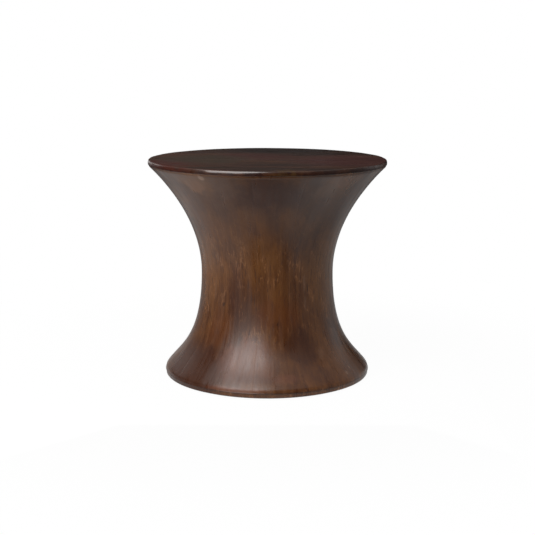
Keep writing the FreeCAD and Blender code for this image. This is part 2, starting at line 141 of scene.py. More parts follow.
@dataclass(frozen=True)
class TurnedSection:
    """Half of the stool's upright section, as radius and height."""

    seat_height: float = 0.450
    floor_gap: float = 0.002
    rim_radius: float = 0.2447
    rim_overhang: float = 0.0003
    rim_round: float = 0.0058
    rim_flat: float = 0.48
    board_thickness: float = 0.009
    shoulder_land: float = 0.0042
    shoulder_draft: float = 0.0020
    waist_radius: float = 0.1366
    waist_height: float = 0.2172
    foot_radius: float = 0.2129
    foot_edge: float = 0.0102
    foot_turn: float = 0.0139
    foot_round: float = 0.0030
    lip_lean: float = math.radians(15.0)
    plinth_height: float = 0.0096
    plinth_set: float = 0.0012
    shoulder_lean: float = math.radians(45.3)
    shoulder_pull: float = 0.1003
    waist_pull_up: float = 0.0724
    waist_pull_down: float = 0.1400
    foot_pull: float = 0.0412
    foot_lean: float = math.radians(37.1)
    shoulder_wall: float = 0.040
    waist_wall: float = 0.036
    foot_wall: float = 0.040
    ledge_wall: float = 0.034
    carrier_thickness: float = 0.015
    easing: float = 0.0012
    sole_points: int = 6
    round_points: int = 9
    rim_points: int = 15
    outer_points: tuple[int, int] = (58, 64)
    inner_points: tuple[int, int] = (24, 30)

    @property
    def shoulder_height(self) -> float:
        """Height of the drum's upper end."""
        return self.seat_height - self.board_thickness

    @property
    def shoulder_radius(self) -> float:
        """Radius of the drum's upper end."""
        return self.rim_radius - self.rim_overhang

    @property
    def flare_top(self) -> Point:
        """Where the upper flare ends, under the short land at the drum's upper end."""
        return (self.shoulder_radius - self.shoulder_draft, self.shoulder_height - self.shoulder_land)

    def flares(self, foot: Point, waist: float, top: Point, counts: tuple[int, int]) -> np.ndarray:
        """The lower and the upper curve of one face of the wall.

        Args:
            foot: Where the lower curve starts.
            waist: The face's radius at the waist.
            top: Where the upper curve ends.
            counts: How many points to take on each.

        Returns:
            The points, one row each.
        """
        foot_sine, foot_cosine = math.sin(self.foot_lean), math.cos(self.foot_lean)
        top_sine, top_cosine = math.sin(self.shoulder_lean), math.cos(self.shoulder_lean)
        lower = [
            foot,
            (foot[0] - self.foot_pull * foot_sine, foot[1] + self.foot_pull * foot_cosine),
            (waist, self.waist_height - self.waist_pull_down),
            (waist, self.waist_height),
        ]
        upper = [
            (waist, self.waist_height),
            (waist, self.waist_height + self.waist_pull_up),
            (top[0] - self.shoulder_pull * top_sine, top[1] - self.shoulder_pull * top_cosine),
            top,
        ]
        return chained(cubic(lower, counts[0]), cubic(upper, counts[1]))

    def outside(self) -> np.ndarray:
        """The drum's outer line, from the middle of the foot's underside to the shoulder.

        Returns:
            The points, one row each.
        """
        middle = (self.foot_radius - self.foot_turn, self.floor_gap + self.foot_edge)
        turned = arc(middle, self.foot_turn, self.lip_lean, self.foot_lean, self.round_points)
        crease = self.floor_gap + self.plinth_height
        lip = (turned[0][0] + (turned[0][1] - crease) * math.tan(self.lip_lean), crease)
        plinth = lip[0] - self.plinth_set
        middle = (plinth - self.foot_round, self.floor_gap + self.foot_round)
        rounding = arc(middle, self.foot_round, -math.pi / 2, 0.0, self.round_points)
        sole = (self.foot_radius - self.foot_wall / 2, self.floor_gap)
        return chained(
            straight(sole, tuple(rounding[0]), self.sole_points),
            rounding,
            straight(tuple(rounding[-1]), (plinth, crease), 4),
            straight((plinth, crease), lip, 2),
            straight(lip, tuple(turned[0]), 5),
            turned,
            self.flares(tuple(turned[-1]), self.waist_radius, self.flare_top, self.outer_points),
            straight(self.flare_top, (self.shoulder_radius, self.shoulder_height), 5),
        )

    def inside(self) -> np.ndarray:
        """The sawn inner line, from the ledge down to the foot.

        Returns:
            The points, one row each.
        """
        foot = (self.foot_radius - self.foot_wall, self.floor_gap)
        top = (self.flare_top[0] - self.shoulder_wall, self.flare_top[1])
        line = self.flares(foot, self.waist_radius - self.waist_wall, top, self.inner_points)
        ledge = self.shoulder_height - self.carrier_thickness
        kept = line[line[:, 1] < ledge - self.easing]
        radius = float(np.interp(ledge, line[:, 1], line[:, 0]))
        return np.vstack([kept, [(radius, ledge)]])[::-1]

    def ledge(self) -> np.ndarray:
        """The stave's upper end and the turned ledge in it, from the shoulder inwards.

        Returns:
            The points, one row each.
        """
        corner = (self.shoulder_radius - self.ledge_wall, self.shoulder_height)
        floor = (corner[0], self.shoulder_height - self.carrier_thickness)
        shoulder = (self.shoulder_radius, self.shoulder_height)
        return chained(straight(shoulder, corner, 4), straight(corner, floor, 3))

    def seat_edge(self, rounding: float) -> np.ndarray:
        """The seat's edge, from the flat top round the rim to its underside.

        Args:
            rounding: Height of the rounded top edge, which reaches less far inwards.

        Returns:
            The points, one row each.
        """
        inward = rounding * self.rim_flat
        turned = arc((0.0, 0.0), 1.0, math.pi / 2, 0.0, self.rim_points) * (inward, rounding)
        turned += (self.rim_radius - inward, self.seat_height - rounding)
        below = (self.rim_radius, self.shoulder_height + self.easing)
        under = (self.rim_radius - self.easing, self.shoulder_height)
        corner = (self.rim_radius, self.shoulder_height)
        return chained(turned, straight(tuple(turned[-1]), below, 4), eased(below, corner, under, 4))


# Finishes

class Graph:
    """The node tree of one material, with a short method for each kind of node."""

    MIX_SHARE, MIX_FIRST, MIX_SECOND, MIX_RESULT = 0, 6, 7, 2

    def __init__(self, name: str) -> None:
        """Starts a material with a single surface shader.

        Args:
            name: The material's name.
        """
        self.material = bpy.data.materials.new(name)
        self.material.use_nodes = True
        self.tree = self.material.node_tree
        self.tree.nodes.clear()
        self.shader = self.node("ShaderNodeBsdfPrincipled")
        self.output = self.node("ShaderNodeOutputMaterial")
        self.show(self.shader.outputs["BSDF"])

    def node(self, kind: str, **settings: object) -> bpy.types.Node:
        """Adds a node.

        Args:
            kind: The node's type.
            settings: Properties to set on it.

        Returns:
            The node.
        """
        made = self.tree.nodes.new(kind)
        for name, value in settings.items():
            setattr(made, name, value)
        return made

    def feed(self, socket: Socket, value: Feed) -> None:
        """Links a socket to another, or sets its value.

        Args:
            socket: The socket to feed.
            value: The other socket, or the value.
        """
        if isinstance(value, Socket):
            self.tree.links.new(value, socket)
        else:
            socket.default_value = value

    def show(self, look: Socket) -> None:
        """Makes a shader the one that the material shows."""
        self.feed(self.output.inputs["Surface"], look)

    def surface(self, **values: Feed) -> None:
        """Feeds the surface shader's sockets, named with underscores for spaces."""
        for name, value in values.items():
            self.feed(self.shader.inputs[name.replace("_", " ")], value)

    def math(self, operation: str, first: Feed, second: Feed = 0.0, clamp: bool = False) -> Socket:
        """A sum of two numbers.

        Args:
            operation: What to do with them.
            first: The first number.
            second: The second number.
            clamp: Whether to keep the result from 0 to 1.

        Returns:
            The result's socket.
        """
        made = self.node("ShaderNodeMath", operation=operation, use_clamp=clamp)
        self.feed(made.inputs[0], first)
        self.feed(made.inputs[1], second)
        return made.outputs[0]

    def times(self, first: Feed, second: Feed, clamp: bool = False) -> Socket:
        """One number times another."""
        return self.math("MULTIPLY", first, second, clamp)

    def plus(self, first: Feed, second: Feed, share: float) -> Socket:
        """A number with a share of another added to it."""
        return self.math("ADD", first, self.times(second, share))

    def swing(self, level: Feed) -> Socket:
        """How far a level from 0 to 1 lies over or under its middle."""
        return self.math("SUBTRACT", level, MIDDLE)

    def vector(self, operation: str, first: Feed, second: Feed = (0.0, 0.0, 0.0)) -> Socket:
        """A sum of two vectors.

        Args:
            operation: What to do with them.
            first: The first vector.
            second: The second vector.

        Returns:
            The result's socket, a number for a length.
        """
        made = self.node("ShaderNodeVectorMath", operation=operation)
        self.feed(made.inputs[0], first)
        self.feed(made.inputs[1], second)
        return made.outputs["Value" if operation == "LENGTH" else "Vector"]

    def moved(self, place: Feed, push: Feed, reach: Place) -> Socket:
        """A place pushed aside, as far as a reach on each axis."""
        return self.vector("ADD", place, self.vector("MULTIPLY", push, reach))

    def height(self, place: Feed) -> Socket:
        """The last coordinate of a place.

        Args:
            place: A place in the stool's frame or in the grain.

        Returns:
            The socket of its height or, in the grain, of its way along the fibres.
        """
        split = self.node("ShaderNodeSeparateXYZ")
        self.feed(split.inputs[0], place)
        return split.outputs["Z"]

    def step(
        self, value: Feed, low: float, high: float, to_low: float = 0.0, to_high: float = 1.0
    ) -> Socket:
        """A smooth step.

        Args:
            value: The number to map.
            low: Where the step starts.
            high: Where it ends.
            to_low: The result below the start.
            to_high: The result above the end.

        Returns:
            The mapped number's socket.
        """
        made = self.node("ShaderNodeMapRange", interpolation_type="SMOOTHSTEP")
        numbers = {"Value": value, "From Min": low, "From Max": high, "To Min": to_low, "To Max": to_high}
        for name, number in numbers.items():
            self.feed(made.inputs[name], number)
        return made.outputs["Result"]

    def mix(self, share: Feed, first: Feed, second: Feed) -> Socket:
        """Mixes two colours.

        Args:
            share: How much of the second colour.
            first: The first colour.
            second: The second colour.

        Returns:
            The mixed colour's socket.
        """
        made = self.node("ShaderNodeMix", data_type="RGBA")
        self.feed(made.inputs[self.MIX_SHARE], share)
        self.feed(made.inputs[self.MIX_FIRST], first)
        self.feed(made.inputs[self.MIX_SECOND], second)
        return made.outputs[self.MIX_RESULT]

    def mark(self, mark: Mark) -> Socket:
        """A number that the piece carries at each point."""
        return self.node("ShaderNodeAttribute", attribute_name=mark.value).outputs["Fac"]

    def grain(self) -> Socket:
        """The point's place in the grain of its piece, with the fibres along the last axis."""
        return self.node("ShaderNodeAttribute", attribute_name=Mark.GRAIN.value).outputs["Vector"]

    def place(self) -> Socket:
        """The point's place in the stool's frame."""
        return self.node("ShaderNodeTexCoord").outputs["Object"]

    def bump(self, height: Feed, depth: float, strength: float) -> None:
        """Raises the surface by a height.

        Args:
            height: The height, from 0 to 1.
            depth: What a height of 1 measures, in metres.
            strength: How much of it shows.
        """
        made = self.node("ShaderNodeBump")
        made.inputs["Strength"].default_value = strength
        made.inputs["Distance"].default_value = depth
        self.feed(made.inputs["Height"], height)
        self.surface(Normal=made.outputs["Normal"])


@dataclass(frozen=True)
class Figure:
    """A cloudy pattern with its own waves to the metre on each axis, read between two levels."""

    waves: Place
    layers: float = 3.0
    low: float = 0.3
    high: float = 0.7
    aside: Place = (0.0, 0.0, 0.0)

    def noise(self, graph: Graph, place: Feed) -> bpy.types.Node:
        """Adds the pattern's noise.

        Args:
            graph: The finish in the making.
            place: The coordinates.

        Returns:
            The noise's node.
        """
        if any(self.aside):
            place = graph.vector("ADD", place, self.aside)
        made = graph.node("ShaderNodeTexNoise")
        graph.feed(made.inputs["Vector"], graph.vector("MULTIPLY", place, self.waves))
        made.inputs["Scale"].default_value = 1.0
        made.inputs["Detail"].default_value = self.layers
        return made

    def level(self, graph: Graph, place: Feed) -> Socket:
        """The bare pattern, from 0 to 1."""
        return self.noise(graph, place).outputs["Fac"]

    def push(self, graph: Graph, place: Feed) -> Socket:
        """The pattern as a push to any side."""
        return graph.vector("SUBTRACT", self.noise(graph, place).outputs["Color"], (MIDDLE,) * 3)

    def share(self, graph: Graph, place: Feed) -> Socket:
        """The pattern as a smooth step from 0 to 1 between its two levels."""
        return graph.step(self.level(graph, place), self.low, self.high)


@dataclass(frozen=True)
class StainOrHighlight:
    """A place where the wood took the stain differently, a small knot or a rubbed spot; some of them are
    painted highlights.

    The angle is in degrees round the stool, from 0 at the front to 90 on the right.
    """

    angle: float
    height: float
    radius: float
    wide: float
    tall: float
    color: Color
    strength: float

    def share(self, graph: Graph, place: Feed, soft: float) -> Socket:
        """How much of the stain shows at a point.

        Args:
            graph: The finish in the making.
            place: The point's place, already shaken where the edge is ragged.
            soft: How soft its edge is, as a share of its size.

        Returns:
            The share's socket, from 0 to 1.
        """
        turn = math.radians(self.angle + FRONT_ANGLE)
        centre = (self.radius * math.cos(turn), self.radius * math.sin(turn), self.height)
        away = graph.vector("SUBTRACT", place, centre)
        away = graph.vector("MULTIPLY", away, (1.0 / self.wide, 1.0 / self.wide, 1.0 / self.tall))
        return graph.step(graph.vector("LENGTH", away), 1.0 - soft, 1.0 + soft, self.strength, 0.0)


@dataclass(frozen=True)
class StainedWood:
    """Dark stained hardwood under a satin lacquer."""

    name: str
    deep: Color
    warm: Color
    plum: Color
    pore: Color
    glint: Color
    # Colours near Mark.EDGE: a darker rim face on the seat, and painted shade in the crease over the drum's
    # plinth.
    edge: Color
    edge_warm: Color
    # Patches and small marks include painted highlights as well as stains.
    patches: tuple[StainOrHighlight, ...] = ()
    shades: tuple[StainOrHighlight, ...] = ()
    knots_and_highlights: tuple[StainOrHighlight, ...] = ()
    polish: tuple[StainOrHighlight, ...] = ()
    patch_soft: float = 0.42
    small_mark_soft: float = 0.4
    polish_soft: float = 0.3
    polish_gain: float = 9.0
    ring_pitch: float = 0.0065
    ring_sway: float = 2.2
    late_start: Point = (0.3, 0.85)
    late_end: Point = (0.88, 1.0)
    late_share: float = 0.14
    blotch_share: float = 0.42
    fibre_share: float = 0.5
    mottle_share: float = 0.4
    cloud_share: float = 0.38
    streaky: float = 0.70
    even_streaky: float = 0.62
    banding: float = 0.45
    # On the drum this sets how strongly the crease is darkened with painted shade.
    edge_share: float = 0.6
    fleck: float = 0.58
    fleck_width: Point = (0.008, 0.034)
    pore_share: float = 0.9
    pore_fade: float = 3.0
    smooth_above: float = 1.0
    smooth_fade: Point = (-0.06, 0.04)
    smooth_share: float = 0.4
    long_cut: Point = (0.12, 0.6)
    end_flecks: float = 0.35
    end_cut: Point = (0.2, 0.75)
    end_dark: float = 0.30
    gloss: float = 0.34
    gloss_swing: float = 0.06
    pore_rough: float = 0.08
    streak_rough: float = 0.10
    mirror: float = 0.46
    rim_gloss: float = 0.11
    rim_tint: Color = (1.0, 0.88, 0.82, 1.0)
    pore_dip: float = 0.6
    bump_depth: float = 0.0002
    bump_strength: float = 0.4
    sway_reach: Place = (0.014, 0.014, 0.0)
    ragged_reach: Place = (0.05, 0.05, 0.06)
    small_mark_reach: Place = (0.008, 0.008, 0.008)
    sway: Figure = Figure((10.0, 10.0, 3.0), 2.0)
    shake: Figure = Figure((45.0, 45.0, 28.0), 4.0)
    rings: Figure = Figure((34.0, 34.0, 4.0), 2.0)
    streaks: Figure = Figure((115.0, 115.0, 5.0), 3.0, 0.31, 0.69)
    fibres: Figure = Figure((520.0, 520.0, 26.0))
    ticks: Figure = Figure((330.0, 330.0, 34.0), 2.0, 0.585, 0.67, (0.31, 0.17, 0.53))
    wander: Figure = Figure((130.0, 130.0, 26.0), aside=(0.13, 0.61, 0.29))
    fleck_areas: Figure = Figure((42.0, 42.0, 30.0), 2.0, 0.46, 0.62)
    blotches: Figure = Figure((17.0, 17.0, 11.0), 3.0, 0.36, 0.64)
    clouds: Figure = Figure((24.0, 24.0, 15.0), 3.0, 0.40, 0.66, (0.7, 0.2, 0.4))
    bands: Figure = Figure((30.0, 30.0, 2.4), 2.0)
    mottle: Figure = Figure((105.0, 105.0, 75.0), 2.0)
    edge_mottle: Figure = Figure((38.0, 38.0, 38.0), 3.0, 0.44, 0.60)
    haze: Figure = Figure((60.0, 60.0, 3.0))

    def late_wood(self, graph: Graph, grain: Feed) -> Socket:
        """How much of the year rings' dark late wood shows at a point.

        Args:
            graph: The finish in the making.
            grain: The point's place in the grain.

        Returns:
            The share's socket.
        """
        pith = graph.vector("LENGTH", graph.vector("MULTIPLY", grain, ACROSS_FIBRES))
        turns = graph.times(pith, 1.0 / self.ring_pitch)
        ring = graph.math("FRACT", graph.plus(turns, self.rings.level(graph, grain), self.ring_sway))
        return graph.times(graph.step(ring, *self.late_start), graph.step(ring, *self.late_end, 1.0, 0.0))

    def tone(self, graph: Graph, grain: Feed, place: Feed, streak: Feed) -> Socket:
        """How warm the stain is at a point.

        Args:
            graph: The finish in the making.
            grain: The point's place in the grain.
            place: The point's place in the stool's frame.
            streak: The fine streaks along the fibres.

        Returns:
            The tone's socket, from deep at 0 to warm at 1.
        """
        tone = graph.times(self.blotches.share(graph, place), self.blotch_share)
        tone = graph.plus(tone, streak, self.streaky)
        tone = graph.math("SUBTRACT", tone, (self.streaky - self.even_streaky) / 2)
        tone = graph.plus(tone, graph.swing(self.fibres.level(graph, grain)), self.fibre_share)
        tone = graph.plus(tone, graph.swing(self.bands.level(graph, grain)), self.banding)
        tone = graph.plus(tone, graph.swing(self.mottle.level(graph, place)), self.mottle_share)
        return graph.math("ADD", tone, graph.mark(Mark.TONE), clamp=True)

    def flecks(self, graph: Graph, grain: Feed, place: Feed) -> Socket:
        """How much of the pale flecks shows, in lines that wander along the fibres.

        Args:
            graph: The finish in the making.
            grain: The point's place in the grain.
            place: The point's place in the stool's frame.

        Returns:
            The share's socket.
        """
        line = graph.math("ABSOLUTE", graph.swing(self.wander.level(graph, grain)))
        line = graph.step(line, *self.fleck_width, 1.0, 0.0)
        return graph.times(line, self.fleck_areas.share(graph, place))

    def wood(self, graph: Graph, grain: Feed, place: Feed, streak: Feed) -> Socket:
        """The wood's colour under its stains, flecks and pores, with painted shade in the drum's crease.

        Args:
            graph: The finish in the making.
            grain: The point's place in the grain.
            place: The point's place in the stool's frame.
            streak: The fine streaks along the fibres.

        Returns:
            The colour's socket.
        """
        color = graph.mix(self.tone(graph, grain, place, streak), self.deep, self.warm)
        color = graph.mix(graph.times(self.clouds.share(graph, place), self.cloud_share), color, self.plum)
        color = graph.mix(graph.times(self.late_wood(graph, grain), self.late_share), color, self.deep)
        # Near Mark.EDGE: a darker rim face on the seat, and painted shade in the crease over the drum's
        # plinth.
        rim = graph.mix(self.edge_mottle.share(graph, place), self.edge, self.edge_warm)
        return graph.mix(graph.times(graph.mark(Mark.EDGE), self.edge_share), color, rim)

    @staticmethod
    def stained(graph: Graph, color: Feed, place: Feed, stains: Iterable[StainOrHighlight], soft: float) -> Feed:
        """Lays stains, and the painted highlights among them, over a colour.

        Args:
            graph: The finish in the making.
            color: The colour so far.
            place: The point's place, shaken for ragged edges.
            stains: The stains, from the first to the last.
            soft: How soft their edges are.

        Returns:
            The colour with the stains.
        """
        for stain in stains:
            color = graph.mix(stain.share(graph, place, soft), color, stain.color)
        return color

    def rub_up(self, graph: Graph, place: Feed) -> None:
        """Gives the rounded edge a glossier coat where hands have rubbed it.

        Args:
            graph: The finish in the making.
            place: The point's place in the stool's frame.
        """
        shine: Feed = 0.0
        for spot in self.polish:
            shine = graph.math("MAXIMUM", spot.share(graph, place, self.polish_soft), shine)
        edge = graph.mark(Mark.EDGE)
        rounded = graph.times(edge, graph.math("SUBTRACT", 1.0, edge))
        shine = graph.times(graph.times(rounded, self.polish_gain, clamp=True), shine)
        graph.surface(Coat_Weight=shine, Coat_Roughness=self.rim_gloss, Coat_Tint=self.rim_tint)

    def material(self) -> bpy.types.Material:
        """Builds the finish.

        Returns:
            The material, which reads a piece's marks.
        """
        graph = Graph(self.name)
        grain, place = graph.grain(), graph.place()
        grain = graph.moved(grain, self.sway.push(graph, grain), self.sway_reach)
        shake = self.shake.push(graph, place)
        ragged = graph.moved(place, shake, self.ragged_reach)
        low, high = (self.smooth_above + fade for fade in self.smooth_fade)
        coarse = graph.step(graph.height(place), low, high, 1.0, self.smooth_share)
        streak = graph.times(graph.swing(self.streaks.share(graph, grain)), coarse)
        streak = graph.math("ADD", streak, MIDDLE)
        long_grain = graph.step(graph.mark(Mark.CUT), *self.long_cut, 1.0, self.end_flecks)
        open_grain = graph.times(long_grain, graph.math("POWER", coarse, self.pore_fade))
        pores = graph.times(self.ticks.share(graph, grain), open_grain)
        shown = graph.times(graph.times(long_grain, coarse), self.fleck)

        color = self.wood(graph, grain, place, streak)
        color = self.stained(graph, color, ragged, self.patches, self.patch_soft)
        color = graph.mix(graph.times(self.flecks(graph, grain, place), shown), color, self.glint)
        color = graph.mix(graph.times(pores, self.fleck * self.pore_share), color, self.pore)
        color = self.stained(graph, color, ragged, self.shades, self.patch_soft)
        small = graph.moved(place, shake, self.small_mark_reach)
        color = self.stained(graph, color, small, self.knots_and_highlights, self.small_mark_soft)
        soak = graph.times(graph.step(graph.mark(Mark.CUT), *self.end_cut), self.end_dark)
        color = graph.mix(soak, color, self.deep)

        glossy, dull = self.gloss - self.gloss_swing, self.gloss + self.gloss_swing
        rough = graph.step(self.haze.level(graph, grain), self.haze.low, self.haze.high, glossy, dull)
        rough = graph.plus(rough, pores, self.pore_rough)
        rough = graph.plus(rough, graph.swing(streak), self.streak_rough)
        graph.surface(Base_Color=color, Roughness=rough, Specular_IOR_Level=self.mirror)
        if self.polish:
            self.rub_up(graph, place)
        height = graph.math("SUBTRACT", streak, graph.times(pores, self.pore_dip))
        graph.bump(height, self.bump_depth, self.bump_strength)
        return graph.material


@dataclass(frozen=True)
class BareWood:
    """Unfinished wood as it left the saw, with the saw's marks across the fibres."""

    name: str
    pale: Color
    dark: Color
    saw_pitch: float = 0.0035
    saw_sway: float = 1.6
    saw_share: float = 0.25
    streak_share: float = 0.7
    broad_share: float = 0.6
    dark_levels: Point = (0.4, 0.9)
    roughness: Point = (0.72, 0.88)
    bump_depth: float = 0.0003
    bump_strength: float = 0.5
    streaks: Figure = Figure((200.0, 200.0, 4.0), 4.0)
    broad: Figure = Figure((20.0, 20.0, 2.0), 2.0)
    shake: Figure = Figure((35.0, 35.0, 35.0), 2.0)

    def material(self) -> bpy.types.Material:
        """Builds the finish.

        Returns:
            The material, which reads a piece's grain.
        """
        graph = Graph(self.name)
        grain = graph.grain()
        streak = self.streaks.level(graph, grain)
        share = graph.times(streak, self.streak_share)
        share = graph.plus(share, self.broad.level(graph, grain), self.broad_share)
        color = graph.mix(graph.step(share, *self.dark_levels), self.pale, self.dark)
        stroke = graph.times(graph.height(grain), 1.0 / self.saw_pitch)
        stroke = graph.plus(stroke, self.shake.level(graph, grain), self.saw_sway)
        kerf = graph.math("PINGPONG", stroke, 1.0)
        color = graph.mix(graph.times(kerf, self.saw_share), color, self.dark)
        rough = graph.step(streak, self.streaks.low, self.streaks.high, *self.roughness)
        graph.surface(Base_Color=color, Roughness=rough)
        graph.bump(graph.math("ADD", kerf, streak), self.bump_depth, self.bump_strength)
        return graph.material


@dataclass(frozen=True)
class PlainWood:
    """Sanded plywood or beech with a plain figure along the seat."""

    name: str
    pale: Color
    dark: Color
    sway_reach: Place = (0.0, 0.06, 0.0)
    broad_share: float = 0.8
    fine_share: float = 0.35
    dark_levels: Point = (0.4, 0.8)
    roughness: Point = (0.6, 0.75)
    bump_depth: float = 0.0002
    bump_strength: float = 0.4
    sway: Figure = Figure((7.0, 3.0, 7.0))
    broad: Figure = Figure((2.5, 42.0, 42.0))
    fine: Figure = Figure((24.0, 520.0, 520.0))

    def material(self) -> bpy.types.Material:
        """Builds the finish.

        Returns:
            The material.
        """
        graph = Graph(self.name)
        place = graph.place()
        swayed = graph.moved(place, self.sway.level(graph, place), self.sway_reach)
        fine = self.fine.level(graph, place)
        share = graph.times(self.broad.level(graph, swayed), self.broad_share)
        share = graph.plus(share, fine, self.fine_share)
        color = graph.mix(graph.step(share, *self.dark_levels), self.pale, self.dark)
        rough = graph.step(fine, self.fine.low, self.fine.high, *self.roughness)
        graph.surface(Base_Color=color, Roughness=rough)
        graph.bump(fine, self.bump_depth, self.bump_strength)
        return graph.material


@dataclass(frozen=True)
class Hardware:
    """A plain metal or moulded finish with fine scuffs."""

    name: str
    color: Color
    scuffed: Color
    metallic: float
    roughness: float
    rough_swing: Point = (-0.06, 0.12)
    worn_levels: Point = (0.5, 0.68)
    bump_depth: float = 0.00008
    bump_strength: float = 0.4
    scuffs: Figure = Figure((600.0, 600.0, 600.0), 4.0)

    def material(self) -> bpy.types.Material:
        """Builds the finish.

        Returns:
            The material.
        """
        graph = Graph(self.name)
        scuff = self.scuffs.level(graph, graph.place())
        color = graph.mix(graph.step(scuff, *self.worn_levels), self.color, self.scuffed)
        low, high = (self.roughness + swing for swing in self.rough_swing)
        rough = graph.step(scuff, self.scuffs.low, self.scuffs.high, low, high)
        graph.surface(Base_Color=color, Roughness=rough, Metallic=self.metallic)
        graph.bump(scuff, self.bump_depth, self.bump_strength)
        return graph.material


PLUM: Color = (0.037, 0.0100, 0.0060, 1.0)
AMBER: Color = (0.135, 0.0530, 0.0145, 1.0)
RUSSET: Color = (0.078, 0.0225, 0.0055, 1.0)
UMBER: Color = (0.035, 0.0095, 0.0032, 1.0)
RED: Color = (0.050, 0.0090, 0.0045, 1.0)
# Painted highlight colour: a light rose laid where the lamp's highlight falls on the lower flare and the
# foot's lip.
PAINTED_HIGHLIGHT_ROSE: Color = (0.150, 0.0500, 0.0260, 1.0)
WINE: Color = (0.052, 0.0150, 0.0135, 1.0)
MOSS: Color = (0.036, 0.0240, 0.0150, 1.0)
SOOT: Color = (0.012, 0.0060, 0.0045, 1.0)
ASH: Color = (0.125, 0.0640, 0.0370, 1.0)
PALE: Color = (0.300, 0.1800, 0.1150, 1.0)
HONEY: Color = (0.210, 0.0850, 0.0330, 1.0)
OLIVE: Color = (0.056, 0.0270, 0.0085, 1.0)
KNOT: Color = (0.018, 0.007, 0.003, 1.0)

BODY_FINISH = StainedWood(
    name="body_stain_and_painted_light",
    smooth_above=0.31,
    deep=(0.050, 0.0152, 0.0042, 1.0),
    warm=(0.116, 0.0420, 0.0098, 1.0),
    plum=(0.045, 0.0160, 0.0085, 1.0),
    pore=(0.026, 0.0080, 0.0032, 1.0),
    glint=(0.230, 0.100, 0.040, 1.0),
    # Painted shade in the crease over the plinth.
    edge=(0.020, 0.0065, 0.0030, 1.0),
    edge_warm=(0.040, 0.0130, 0.0045, 1.0),
    patches=(
        StainOrHighlight(-12.0, 0.270, 0.142, 0.042, 0.050, AMBER, 0.55),
        StainOrHighlight(-60.0, 0.230, 0.137, 0.040, 0.070, AMBER, 0.55),
        StainOrHighlight(60.0, 0.230, 0.137, 0.050, 0.085, AMBER, 0.80),
        StainOrHighlight(3.0, 0.215, 0.137, 0.040, 0.055, AMBER, 0.28),
        StainOrHighlight(-38.0, 0.424, 0.226, 0.042, 0.026, AMBER, 0.95),
        StainOrHighlight(38.0, 0.420, 0.220, 0.042, 0.030, AMBER, 0.80),
        # Painted highlight: pinker and lighter where the lamp's highlight falls.
        StainOrHighlight(-12.0, 0.066, 0.175, 0.045, 0.045, PAINTED_HIGHLIGHT_ROSE, 0.42),
        StainOrHighlight(-20.0, 0.408, 0.212, 0.026, 0.022, ASH, 0.30),
        StainOrHighlight(31.0, 0.405, 0.210, 0.024, 0.020, ASH, 0.45),
        StainOrHighlight(42.0, 0.427, 0.230, 0.036, 0.016, HONEY, 0.45),
        StainOrHighlight(-40.0, 0.412, 0.215, 0.022, 0.016, HONEY, 0.35),
        StainOrHighlight(35.0, 0.250, 0.140, 0.018, 0.030, AMBER, 0.40),
        # Painted highlight: widens the lamp's highlight to the left.
        StainOrHighlight(-27.0, 0.056, 0.178, 0.026, 0.040, PAINTED_HIGHLIGHT_ROSE, 0.55),
        StainOrHighlight(40.0, 0.066, 0.168, 0.010, 0.026, ASH, 0.65),
        StainOrHighlight(46.0, 0.062, 0.172, 0.030, 0.036, AMBER, 0.35),
    ),
    shades=(
        StainOrHighlight(-21.0, 0.152, 0.139, 0.026, 0.050, UMBER, 0.62),
        StainOrHighlight(-27.0, 0.205, 0.137, 0.014, 0.050, PLUM, 0.40),
        StainOrHighlight(2.0, 0.402, 0.200, 0.068, 0.034, PLUM, 0.75),
        StainOrHighlight(9.0, 0.148, 0.140, 0.040, 0.032, RUSSET, 0.65),
        StainOrHighlight(-52.0, 0.030, 0.195, 0.090, 0.056, UMBER, 0.95),
        StainOrHighlight(25.0, 0.084, 0.162, 0.036, 0.040, UMBER, 0.80),
        StainOrHighlight(-34.0, 0.096, 0.154, 0.036, 0.020, UMBER, 0.40),
        StainOrHighlight(58.0, 0.100, 0.152, 0.020, 0.030, UMBER, 0.40),
        StainOrHighlight(-41.0, 0.115, 0.145, 0.028, 0.046, RUSSET, 0.65),
        StainOrHighlight(-42.0, 0.174, 0.138, 0.016, 0.034, UMBER, 0.35),
        StainOrHighlight(9.0, 0.118, 0.145, 0.018, 0.020, UMBER, 0.35),
        StainOrHighlight(36.0, 0.034, 0.193, 0.024, 0.016, UMBER, 0.40),
    ),
    knots_and_highlights=(
        StainOrHighlight(-38.5, 0.168, 0.138, 0.0028, 0.0042, KNOT, 0.80),
        # Painted highlight: a small pale spot under the rim.
        StainOrHighlight(-31.7, 0.433, 0.2375, 0.0066, 0.0058, PALE, 0.80),
        StainOrHighlight(-7.0, 0.035, 0.1920, 0.0360, 0.0070, PLUM, 0.35),
        # Painted highlight: carries the lamp's highlight to the right near the foot.
        StainOrHighlight(11.0, 0.035, 0.1920, 0.0240, 0.0080, PAINTED_HIGHLIGHT_ROSE, 0.35),
        StainOrHighlight(53.0, 0.030, 0.2030, 0.0036, 0.0050, PALE, 0.35),
        StainOrHighlight(58.0, 0.038, 0.1960, 0.0030, 0.0060, PALE, 0.30),
        StainOrHighlight(8.5, 0.132, 0.142, 0.0024, 0.0046, KNOT, 0.75),
        # Painted highlight along the foot's lip.
        StainOrHighlight(-17.0, 0.0165, 0.2125, 0.0600, 0.0050, PAINTED_HIGHLIGHT_ROSE, 0.45),
        StainOrHighlight(33.0, 0.212, 0.137, 0.0032, 0.0170, ASH, 0.60),
        StainOrHighlight(33.5, 0.170, 0.138, 0.0024, 0.0150, ASH, 0.45),
        StainOrHighlight(-44.0, 0.262, 0.142, 0.0026, 0.0110, ASH, 0.50),
        StainOrHighlight(-49.0, 0.200, 0.137, 0.0022, 0.0300, ASH, 0.40),
        StainOrHighlight(97.0, 0.260, 0.141, 0.0060, 0.0090, KNOT, 0.80),
        StainOrHighlight(171.0, 0.150, 0.139, 0.0045, 0.0070, KNOT, 0.85),
        StainOrHighlight(-122.0, 0.300, 0.152, 0.0050, 0.0080, KNOT, 0.80),
    ),
)
